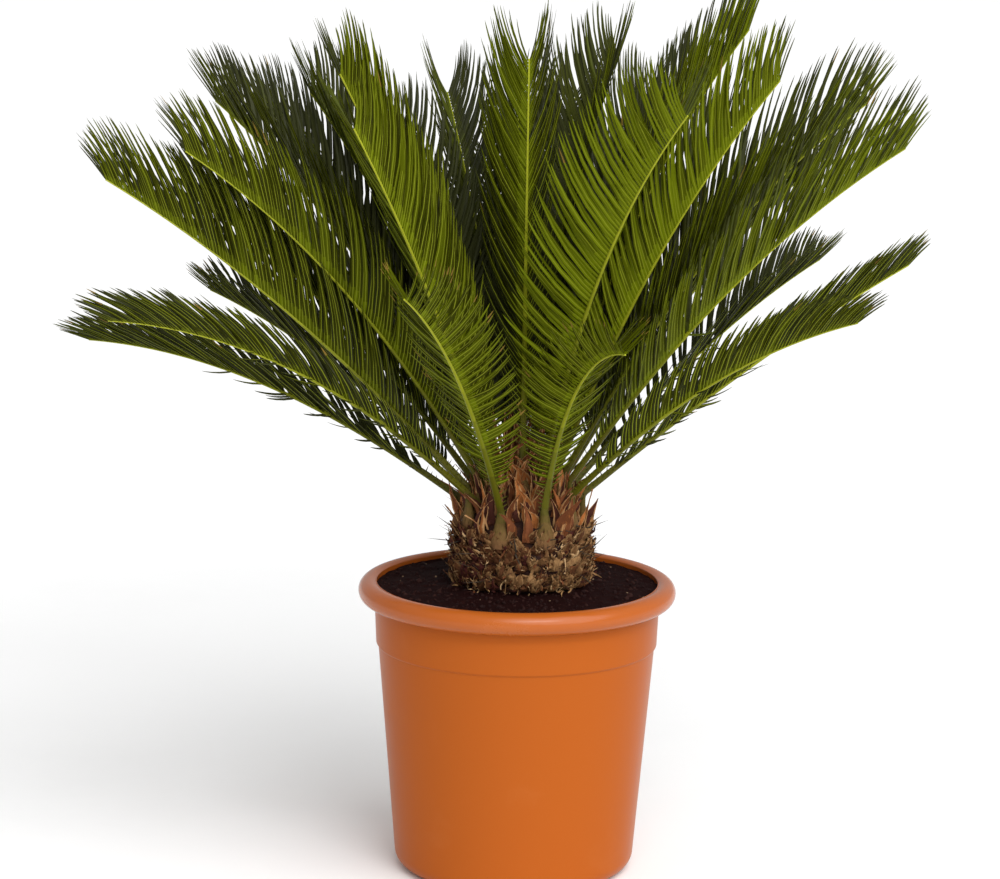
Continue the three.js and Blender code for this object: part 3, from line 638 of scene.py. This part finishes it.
# ---- Fronds ----
# Stiff feather leaves in a funnel: a smooth rib, bare and prickled near the trunk, with two rows
# of narrow leathery leaflets raised in a V, each with rolled edges and a needle tip.
LOW_RISE = 30
STEEP_RISE = 86
EDGE_RADIUS = 62
EDGE_HEIGHT = 77
MIDDLE_RADIUS = 23
MIDDLE_HEIGHT = 120
STALK_WIDTH = 8.5
STALK_HEIGHT = 6.5
RIB_END_WIDTH = 1.8
RIB_END_HEIGHT = 1.5
RIB_TAPER = 1.7
STALK_SHARE = 0.13
FULL_RIB = 480
BEND_POWER = 1.5
FINE_STEPS = 400
LEAF_SPACING = 4.7
LEAF_CROWDING = 0.2
LEAF_HALF_WIDTH = 2.35
LEAF_BOW = math.radians(11)
LEAF_SAG = math.radians(5)
LENGTH_SPREAD = 0.035
WIDTH_SPREAD = 0.04
ANGLE_SPREAD = 1.6
LIFT_SPREAD = 4
ROLL_SPREAD = 0.22
LEAF_SIZE = {"low": 0.8, "middle": 1.1, "upright": 1.08, "short": 0.7}
# length, angle to the rib and lift out of the blade, against the share along the rib
LEAF_LENGTHS = [
    (0.1, 14), (0.17, 34), (0.3, 80), (0.5, 106), (0.7, 108), (0.86, 98), (0.95, 80), (1, 42)]
LEAF_ANGLES = [(0.1, 78), (0.3, 66), (0.6, 56), (0.86, 52), (1, 50)]
LEAF_LIFTS = dict.fromkeys(("low", "middle", "upright"), [(0.1, 30), (0.4, 50), (1, 50)])
LEAF_LIFTS["short"] = [(0.1, 20), (0.5, 26), (0.75, 38), (0.9, 50), (1, 55)]
LEAF_WIDTHS = [(0.1, 0.75), (0.2, 0.97), (0.45, 1), (0.7, 0.9), (0.85, 0.78), (1, 0.6)]
# azimuth, rise at the crown, rib length, bend down by the tip, turn of the blade about its rib,
# and how far the leaflets open beside the angles above
FRONDS = {
    "low": [
        (164, 32, 472, 31, 0, 0.46), (152, 39, 398, 21, 0, 0.6), (122, 36, 430, 24, 0, 0.62),
        (95, 39, 430, 24, 0, 0.62), (68, 36, 430, 24, 0, 0.62), (39, 38.5, 446, 17, 0, 0.6),
        (10, 38.5, 446, 9, -15, 0.46), (-30.5, 45, 409, 27.5, 0, 0.55), (-156, 43, 472, 37, 0, 0.46)],
    "middle": [
        (-175, 47.5, 522, 16, 20, 0.66), (-167, 59, 492, 25, 15, 0.6), (160, 61, 517, 24, 0, 0.6),
        (143, 58, 512, 22, 0, 0.6), (120, 54, 470, 22, 0, 0.65), (98, 57, 450, 22, 0, 0.65),
        (75, 54, 460, 22, 0, 0.65), (50, 57, 470, 22, 0, 0.65), (28, 55, 490, 22, 0, 0.65),
        (6, 62, 530, 25, 8, 0.62), (-8, 56, 522, 22, 12, 0.66), (-18, 69, 503, 18, 0, 0.66),
        (-52, 73, 474, 29, 0, 0.9), (-131, 64.5, 461, 10, 20, 0.5), (-146, 70.5, 487, 11, 20, 0.42),
        (174, 53.5, 450, 22, 0, 0.64)],
    "upright": [
        (149.5, 67.5, 472, 20, 0, 0.58), (136, 72, 405, 18, 0, 0.6), (109.5, 67.5, 462, 19, 0, 0.54),
        (93, 75, 440, 18, 0, 0.6), (76, 71, 450, 18, 0, 0.6), (54, 83, 466, 28, -12, 0.58),
        (58, 68, 460, 18, 0, 0.54), (40, 70, 480, 20, 0, 0.6), (8, 76, 526, 23, 0, 0.5),
        (-90, 84, 464, 16, 12, 0.54)],
    "short": [(-109, 55, 415, 31, 0, 0.98), (-69, 72, 320, 68, 0, 1.05)],
}
# share of leaflets that hang out of their row, against the share along the rib
HANGING = {"low": [(0.15, 0.3), (0.5, 0.22), (0.7, 0)], "middle": [(0.15, 0.04), (0.5, 0)],
           "upright": [(0, 0)], "short": [(0.15, 0.05), (0.4, 0)]}
DROOP = math.radians(-40)
HANGING_REACH = (0.25, 0.55)
HANGING_WIDTH = 0.6
RIB_STATIONS = 48
# each face of a leaflet has four greens, light to dark; a leaflet takes one by chance and by painted light
# and shade
TOP_GREENS = [(0.1, 0.125, 0.011), (0.07, 0.084, 0.008), (0.043, 0.049, 0.006), (0.033, 0.0365, 0.0105)]
UNDER_GREENS = [
    (0.108, 0.136, 0.002), (0.065, 0.079, 0.001), (0.032, 0.036, 0.001), (0.0215, 0.0245, 0.0055)]
MIDRIB_PALE = (0.17, 0.195, 0.012)
LEAF_BROWN = (0.17, 0.11, 0.02)
# colours along a rib, against the share along it
RIB_COLOURS = [(0, (0.08, 0.068, 0.01)), (0.12, (0.085, 0.083, 0.003)), (0.3, (0.125, 0.135, 0.004)),
               (0.5, (0.23, 0.245, 0.008)), (1, (0.34, 0.36, 0.02))]
RIB_TONES = 10


def ramp(knots, place):
    """The value at a place, or at many, between knots of (place, value)."""
    places, values = zip(*knots)
    return np.interp(place, places, values)


def rib_frames(kind, row, shares):
    """Points on a rib, and the directions along, left and up there, at shares of its length."""
    azimuth, rise, length, bend, turn, _ = row
    inward = 0 if kind == "short" else (rise - LOW_RISE) / (STEEP_RISE - LOW_RISE)
    radius = EDGE_RADIUS + (MIDDLE_RADIUS - EDGE_RADIUS) * inward
    height = SOIL_CROWN_Z + EDGE_HEIGHT + (MIDDLE_HEIGHT - EDGE_HEIGHT) * inward
    around = math.radians(azimuth)
    out = np.array([math.cos(around), math.sin(around), 0])
    side = np.array([-out[1], out[0], 0])
    fine = np.linspace(0, 1, FINE_STEPS + 1)
    climb = np.radians(rise - bend * ((fine[1:] + fine[:-1]) / 2) ** BEND_POWER)
    run = np.concatenate([[0], np.cumsum(np.cos(climb))]) * length / FINE_STEPS
    gain = np.concatenate([[0], np.cumsum(np.sin(climb))]) * length / FINE_STEPS
    start = np.array([TRUNK_X, 0, height]) + out * radius
    inside = np.clip(shares, 0, 1)
    points = (start + out * np.interp(inside, fine, run)[:, None]
              + UP * np.interp(inside, fine, gain)[:, None])
    pitch = np.radians(rise - bend * inside ** BEND_POWER)[:, None]
    along = out * np.cos(pitch) + UP * np.sin(pitch)
    points = points + along * ((np.asarray(shares) - inside) * length)[:, None]
    upward = np.cross(along, side)
    twist = np.radians(turn * np.minimum(1, 2 * inside))[:, None]
    left = side * np.cos(twist) + upward * np.sin(twist)
    return points, along, left, np.cross(along, left)


def rib_size(shares):
    """Half the width, and the height, of a rib at shares of its length."""
    fullness = (1 - np.clip(shares, 0, 1)) ** RIB_TAPER
    return ((RIB_END_WIDTH + (STALK_WIDTH - RIB_END_WIDTH) * fullness) / 2,
            RIB_END_HEIGHT + (STALK_HEIGHT - RIB_END_HEIGHT) * fullness)


def leaflets(kind, row):
    """Roots, elbows, tips, across directions, widths, shares and greens of a frond's leaflets."""
    length, opening = row[2], row[5]
    pairs = round((1 - STALK_SHARE) * length / LEAF_SPACING)
    step = (np.arange(pairs) + 0.5) / pairs
    step = step * (1 + LEAF_CROWDING * (1 - step))
    shares = np.repeat(STALK_SHARE + (1 - STALK_SHARE) * step, 2)
    count = 2 * pairs
    hand = np.tile([1.0, -1.0], pairs)[:, None]
    points, along, left, above = rib_frames(kind, row, shares)
    half, high = rib_size(shares)
    roots = points + left * hand * half[:, None] * 0.5 + above * high[:, None] * 0.62
    size = LEAF_SIZE[kind] * (0.55 + 0.45 * length / FULL_RIB)
    reach = ramp(LEAF_LENGTHS, shares)[:, None] * size * chance.normal(1, LENGTH_SPREAD, (count, 1))
    angle = np.radians(ramp(LEAF_ANGLES, shares)[:, None] * opening
                       + chance.normal(0, ANGLE_SPREAD, (count, 1)))
    lift = np.radians(ramp(LEAF_LIFTS[kind], shares)[:, None]
                      + chance.normal(0, LIFT_SPREAD, (count, 1)))
    hanging = chance.uniform(size=(count, 1)) < ramp(HANGING[kind], shares)[:, None]
    lift = np.where(hanging, DROOP * chance.uniform(0.4, 1.6, (count, 1)), lift)
    reach = np.where(hanging, reach * chance.uniform(*HANGING_REACH, (count, 1)), reach)

    def heading(angle, lift):
        """Ways a leaflet points at an angle to its rib and a lift out of the blade."""
        return (along * np.cos(angle) + left * hand * np.cos(lift) * np.sin(angle)
                + above * np.sin(lift) * np.sin(angle))

    tips = roots + heading(angle, lift) * reach
    elbows = roots + heading(angle + LEAF_BOW, lift - LEAF_SAG) * reach * 0.5
    widths = LEAF_HALF_WIDTH * ramp(LEAF_WIDTHS, shares) * chance.normal(1, WIDTH_SPREAD, count)
    widths = np.where(hanging[:, 0], HANGING_WIDTH * widths, widths)
    roll = np.cross(heading(angle, lift), along) * chance.normal(0, ROLL_SPREAD, (count, 1))
    # the greens: painted light and shade, with a random spread
    greens = lit_and_shaded_leaf_tones(kind, row, shares, (left * hand) @ SHADY_WAY)
    return roots, elbows, tips, -hand * along + roll, widths, shares, greens


# the leaves' green runs from 0, light, to 3, dark, by chance and by painted light and shade:
# painted shade at the back of the plant, painted sunlight by so much at its sunny front, and
# painted shade by so much deep in the crown and on a frond's half that faces the shady way
SHADED_BACK_TONE = {"low": 3.0, "middle": 2.75, "upright": 2.25, "short": 1.4}
SUNLIT_GAIN = {"low": 1, "middle": 2.2, "upright": 0.85, "short": 0}
TONE_SPREAD = 0.38
SUNNY_SIDE = math.radians(-70)
CROWN_SHADE_TONE = {"low": 0.8, "middle": 1.3, "upright": 3.8, "short": 0.5}
CROWN_SHADE_SHARE = {"low": 0.55, "middle": 0.55, "upright": 0.78, "short": 0.55}
SHADY_WAY = [0.5, 0.85, 0]
HALF_SHADE_TONE = {"low": 0, "middle": 0.6, "upright": 0.9, "short": 0}


def lit_and_shaded_leaf_tones(kind, row, shares, shady):
    """Which of the four greens each leaflet of a frond has, by chance and by painted light and shade."""
    sunny = (0.5 + 0.5 * math.cos(math.radians(row[0]) - SUNNY_SIDE)) ** 1.5
    tone = SHADED_BACK_TONE[kind] - SUNLIT_GAIN[kind] * sunny + chance.normal(0, TONE_SPREAD, len(shares))
    tone = tone + CROWN_SHADE_TONE[kind] * np.maximum(0, 1 - shares / CROWN_SHADE_SHARE[kind])
    return whole_tones(tone + HALF_SHADE_TONE[kind] * shady)


LEAF_SECTION = [(-1, -0.36), (0, 0.22), (1, -0.36), (0.2, -0.18), (-0.2, -0.18)]
LEAF_OUTLINE = [(0, 0.8), (0.12, 1), (0.4, 0.97), (0.65, 0.76), (0.85, 0.5), (0.95, 0.28), (1, 0.03)]
leaf_shape, leaf_faces, leaf_normals = blade(LEAF_SECTION, LEAF_OUTLINE)
under = leaf_normals[:, 2] < -0.05
midrib = (leaf_normals[:, 2] < -0.5) & (abs(leaf_normals[:, 1]) < 0.1)
at_tip = leaf_shape[leaf_faces, 0].mean(1) > 0.8
at_root = leaf_shape[leaf_faces, 0].mean(1) < 0.2

RIB_SECTION = [(-1, 0.12), (-0.85, 0.55), (-0.42, 0.98), (0, 0.86), (0.42, 0.98), (0.85, 0.55),
               (1, 0.12), (0.6, -0.12), (0, -0.2), (-0.6, -0.12)]
rib_outline = [(place, 1) for place in np.linspace(0, 1, RIB_STATIONS)]
rib_shape, rib_faces, _ = blade(RIB_SECTION, rib_outline)
rib_part = np.round(rib_shape[rib_faces, 0].mean(1) * (RIB_TONES - 1)).astype(int)

greens = []
for side, side_greens, sheen, specular in (("top", TOP_GREENS, (0.4, 0.55), 0.1),
                                           ("underside", UNDER_GREENS, (0.5, 0.65), 0.03)):
    for number, (green, darker) in enumerate(zip(side_greens, side_greens[1:] + side_greens[-1:])):
        greens.append(finish(f"leaf {side} {number + 1}", green, darker, patch_scale=30,
                             patch_share=0.42, grain_scale=500, sheen=sheen, relief=0.12,
                             specular=specular))
PALE, BROWN = len(greens), len(greens) + 1
greens.append(finish("pale midrib", MIDRIB_PALE, UNDER_GREENS[0], patch_scale=60, patch_share=0.45,
                     grain_scale=600, sheen=(0.5, 0.65), relief=0.1, specular=0.05))
greens.append(finish("browned leaf tip", LEAF_BROWN, UNDER_GREENS[2], patch_scale=120,
                     patch_share=0.4, grain_scale=700, sheen=(0.6, 0.8), relief=0.1, specular=0.05))
rib_places, rib_colours = zip(*RIB_COLOURS)
rib_finishes = []
for number, place in enumerate(np.linspace(0, 1, RIB_TONES)):
    tone = np.array([np.interp(place, rib_places, channel) for channel in zip(*rib_colours)])
    rib_finishes.append(finish(f"rib {number + 1}", tone, 0.8 * tone, patch_scale=40, patch_share=0.45,
                               grain_scale=600, sheen=(0.4, 0.55), relief=0.12, specular=0.15))
BROWNED = {"low": 0.08, "middle": 0.015, "upright": 0.005, "short": 0.16}
MOST_IN_PIECE = 2200

for kind, rows in FRONDS.items():
    nodes = [f"frond_{kind}_{number + 1:02d}" for number in range(len(rows))]
    parts = [leaflets(kind, row) for row in rows]
    roots, elbows, tips, across, widths, shares, shade = (np.concatenate(c) for c in zip(*parts))
    count = len(widths)
    lighter = np.maximum(shade[:, None] - at_root, 0)
    yellower = under | (kind == "short")
    dealt = np.where(midrib, PALE, np.where(yellower, len(TOP_GREENS) + lighter, lighter))
    browned = (chance.uniform(size=(count, 1)) < BROWNED[kind] * shares[:, None] ** 2 * 2) & at_tip
    dealt = np.where(browned, BROWN, dealt)
    placed = bent_blades(leaf_shape, roots, elbows, tips, across, widths)
    halves = [("", slice(0, count))]
    if count >= MOST_IN_PIECE:
        halves = [("_a", slice(0, count // 2)), ("_b", slice(count // 2, count))]
    for letter, chosen in halves:
        piece = joined_copies(f"{kind}_leaflets{letter}", placed[chosen], leaf_faces, dealt[chosen],
                              greens, BLADE_CREASE)
        if letter != "_b":
            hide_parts(*nodes)
    ribs = []
    for row in rows:
        place, width, above_edge = rib_shape.T
        points, _, left, above = rib_frames(kind, row, place)
        half, high = rib_size(place)
        ribs.append(points + left * (width * half)[:, None] + above * (above_edge * high)[:, None])
    joined_copies(f"{kind}_ribs", np.array(ribs), rib_faces, rib_part[None],
                  rib_finishes, BLADE_CREASE)

# ---- Stalk feet and prickles ----
# Each stalk swells at its foot, where it is woolly, and runs down the face of the trunk from its
# boss. Short prickles, all that is left of its lowest leaflets, stand along the bare stalk.
FOOT_SECTION = [(math.cos(turn), 0.62 * math.sin(turn)) for turn in np.linspace(0, 2 * math.pi, 11)[:-1]]
FOOT_OUTLINE = [
    (0, 0.8), (0.12, 1.15), (0.26, 1.22), (0.4, 1.1), (0.55, 0.9), (0.7, 0.7), (0.86, 0.55), (1, 0.5)]
# how far down and out of the stalk's start the foot begins and bends, and where it ends on the stalk
FOOT_START = (27, 12)
FOOT_BEND = (10, 7.5)
FOOT_END = (16, 2.4)
FOOT_WOOL = (0.16, 0.078, 0.032)
FOOT_TONES = 6
PRICKLE_PAIRS = 7
PRICKLE_LENGTHS = (4, 13)
PRICKLE_HALF_WIDTH = 0.75

foot_shape, foot_faces, _ = blade(FOOT_SECTION, FOOT_OUTLINE)
feet = []
prickles = []
for kind, rows in FRONDS.items():
    for row in rows:
        points, _, left, above = rib_frames(kind, row, np.array([0, FOOT_END[0] / row[2]]))
        out = np.cross(left[0], UP)
        feet.append((points[0] - UP * FOOT_START[0] + out * FOOT_START[1],
                     points[0] - UP * FOOT_BEND[0] + out * FOOT_BEND[1],
                     points[1] + above[1] * FOOT_END[1], left[0]))
        shares = np.repeat(np.linspace(0.035, STALK_SHARE - 0.005, PRICKLE_PAIRS), 2)
        hand = np.tile([1.0, -1.0], PRICKLE_PAIRS)[:, None]
        points, along, left, above = rib_frames(kind, row, shares)
        half, high = rib_size(shares)
        roots = points + left * hand * half[:, None] * 0.8 + above * high[:, None] * 0.5
        reach = (np.interp(shares, [0.03, STALK_SHARE], PRICKLE_LENGTHS)[:, None]
                 * chance.uniform(0.7, 1.2, (2 * PRICKLE_PAIRS, 1)))
        aim = along * 0.45 + left * hand + above * 0.5 + 0.15 * chance.normal(size=roots.shape)
        aim = unit(aim)
        prickles.append(np.stack([roots, roots + aim * reach * 0.5, roots + aim * reach, along], 1))
roots, elbows, tips, across = (np.array(column) for column in zip(*feet))
foot_places = bent_blades(foot_shape, roots, elbows, tips, across, np.full(len(feet), STALK_WIDTH))
foot_part = np.round(foot_shape[foot_faces, 0].mean(1) * (FOOT_TONES - 1)).astype(int)
foot_finishes = []
for number, share in enumerate(np.linspace(0, 1, FOOT_TONES) ** 1.3):
    tone = np.array(FOOT_WOOL) * (1 - share) + np.array(RIB_COLOURS[0][1]) * share
    foot_finishes.append(finish(f"stalk foot {number + 1}", tone, 0.45 * tone, patch_scale=300,
                                patch_share=0.5, grain_scale=1100, sheen=(0.7, 0.9), relief=1.1,
                                specular=0.1, upright=0.15))
joined_copies("stalk_feet", crinkled(foot_places, 0.35), foot_faces, foot_part[None],
              foot_finishes, BLADE_CREASE)
roots, elbows, tips, across = np.moveaxis(np.concatenate(prickles), 1, 0)
prickle_places = bent_blades(spine_shape, roots, elbows, tips, across,
                             np.full(len(roots), PRICKLE_HALF_WIDTH))
joined_copies("stalk_prickles", prickle_places, spine_faces, 0, [rib_finishes[1]],
              BLADE_CREASE)

# ---- Scale leaves ----
# Pointed scales of brown felt with paler edges, which grow in a spiral from the trunk's top: the
# outer ones stand between the stalks, the long innermost ones are closed round the growing crown.
SCALE_LEAVES = 350
LONG_SCALES = 34
LONG_SCALE_GAIN = 2.2
GOLDEN_ANGLE = math.radians(137.508)
SCALE_FOOT = SHOULDER - 6
SCALE_SECTION = [
    (-1, 0), (-0.76, 0.26), (0, 0.5), (0.76, 0.26), (1, 0), (0.74, 0.18), (0, 0.4), (-0.74, 0.18)]
SCALE_OUTLINE = [(0, 0.95), (0.2, 1), (0.36, 0.92), (0.52, 0.68), (0.7, 0.4), (0.86, 0.18), (1, 0.03)]
SCALE_LENGTHS = (22, 48)
SCALE_HALF_WIDTHS = (3, 8)
# rise of a scale in degrees against its place in the spiral
SCALE_RISES = [(0, 74), (0.3, 78), (1, 88)]
PALE_EDGED = 0.8
STALK_ROOM = math.radians(8)
STALK_ROOM_TOP = SHOULDER + 22
FELT_ORANGE = (0.36, 0.125, 0.034)
FELT_TAN = (0.42, 0.225, 0.095)
FELT_MAROON = (0.06, 0.018, 0.012)

chance = np.random.default_rng(23)
scale_shape, scale_faces, scale_edge = edged_blade(SCALE_SECTION, SCALE_OUTLINE)
spiral = np.arange(SCALE_LEAVES)
share = (spiral + 0.5) / SCALE_LEAVES
innermost = (spiral >= SCALE_LEAVES - LONG_SCALES)[:, None]
scale_height = SCALE_FOOT + (CROWN - SCALE_FOOT) * share ** 0.95
scale_azimuth = spiral * GOLDEN_ANGLE + chance.normal(0, 0.14, SCALE_LEAVES)
spots, out, side = trunk_spots(scale_azimuth, scale_height, 2 - 5 * (1 - share))
rise = np.radians(ramp(SCALE_RISES, share) + chance.normal(0, 8, SCALE_LEAVES))[:, None]
aim = unit(out * np.cos(rise) + UP * np.sin(rise) + side * chance.normal(0, 0.17, (SCALE_LEAVES, 1)))
length = chance.uniform(*SCALE_LENGTHS, (SCALE_LEAVES, 1)) * np.where(innermost, LONG_SCALE_GAIN, 1)
curl = out * chance.normal(0.02, 0.2, (SCALE_LEAVES, 1)) + side * chance.normal(0, 0.3, (SCALE_LEAVES, 1))
elbow = spots + (aim - 0.5 * curl) * length * 0.5
cupped = chance.choice([1, -1], (SCALE_LEAVES, 1), p=[0.6, 0.4])
across = unit(side * cupped + 0.4 * chance.normal(size=(SCALE_LEAVES, 3)))
scale_places = bent_blades(scale_shape, spots, elbow, spots + (aim + curl) * length, across,
                           chance.uniform(*SCALE_HALF_WIDTHS, SCALE_LEAVES))
scale_places = crinkled(scale_places, 0.4)
pale_edge = scale_edge & (chance.uniform(size=(SCALE_LEAVES, 1)) < PALE_EDGED)
felt = chance.choice([0, 2, 3], (SCALE_LEAVES, 1), p=[0.28, 0.38, 0.34])
dealt = np.where(pale_edge, 1, np.where(innermost, 2, felt))
outer_stalks = np.radians([row[0] for kind in ("low", "short") for row in FRONDS[kind]])
apart = abs((scale_azimuth[:, None] - outer_stalks + math.pi) % (2 * math.pi) - math.pi).min(1)
kept = (apart > STALK_ROOM) | (scale_height > STALK_ROOM_TOP)
felt_finishes = [
    finish(name, main, patch, patch_scale=420, patch_share=share, grain_scale=1300,
           sheen=(0.8, 1), relief=1.2, specular=0.1, upright=0.12)
    for name, main, patch, share in (
        ("orange felt", FELT_ORANGE, FELT_BROWN, 0.48), ("tan felt", FELT_TAN, FELT_ORANGE, 0.45),
        ("brown felt", FELT_BROWN, FELT_ORANGE, 0.45), ("maroon felt", FELT_MAROON, FELT_BROWN, 0.45))]
joined_copies("scale_leaves", scale_places[kept], scale_faces, dealt[kept], felt_finishes,
              CREASE)

# ---- Floor, light and surroundings ----
# A plain white floor in a bright studio, with a broad soft light from the right and above, and a
# smaller one in front.
FLOOR_WHITE = (0.92, 0.92, 0.92)
FLOOR_SHADE = (0.9, 0.9, 0.9)
FLOOR_HALF_SIZE = 30
SUN_STRENGTH = 2.8
SUN_SPREAD = math.radians(70)
SUN_WAY = Vector((-0.5, 0.75, -0.75))
SOFTBOX_WATTS = 22
SOFTBOX_SIZE = (1.3, 0.4)
SOFTBOX_PLACE = Vector((0.7, -2.3, 2.4))
SOFTBOX_AIM = Vector((0, 0, 0.35))
STUDIO_LIGHT = 0.58

floor_plane = bmesh.new()
bmesh.ops.create_grid(floor_plane, x_segments=1, y_segments=1, size=FLOOR_HALF_SIZE)
floor_mesh = bpy.data.meshes.new("floor")
floor_plane.to_mesh(floor_mesh)
floor_plane.free()
floor_mesh.materials.append(finish("white floor", FLOOR_WHITE, FLOOR_SHADE, patch_scale=2,
                                   patch_share=0.5, grain_scale=40, sheen=(0.8, 0.9), relief=0.1,
                                   specular=0.1))
floor = bpy.data.objects.new("floor", floor_mesh)
bpy.context.scene.collection.objects.link(floor)


def hang(light, place, way):
    """Put a light at a place, shining that way."""
    lamp = bpy.data.objects.new(light.name, light)
    lamp.location = place
    lamp.rotation_mode = "QUATERNION"
    lamp.rotation_quaternion = way.to_track_quat("-Z", "Y")
    bpy.context.scene.collection.objects.link(lamp)


sun = bpy.data.lights.new("key light", "SUN")
sun.energy = SUN_STRENGTH
sun.angle = SUN_SPREAD
hang(sun, (0, 0, 0), SUN_WAY)
softbox = bpy.data.lights.new("softbox", "AREA")
softbox.shape = "RECTANGLE"
softbox.size, softbox.size_y = SOFTBOX_SIZE
softbox.energy = SOFTBOX_WATTS
hang(softbox, SOFTBOX_PLACE, SOFTBOX_AIM - SOFTBOX_PLACE)
world = bpy.data.worlds.new("studio")
world.use_nodes = True
backdrop = world.node_tree.nodes["Background"]
backdrop.inputs["Color"].default_value = (1, 1, 1, 1)
backdrop.inputs["Strength"].default_value = STUDIO_LIGHT
bpy.context.scene.world = world
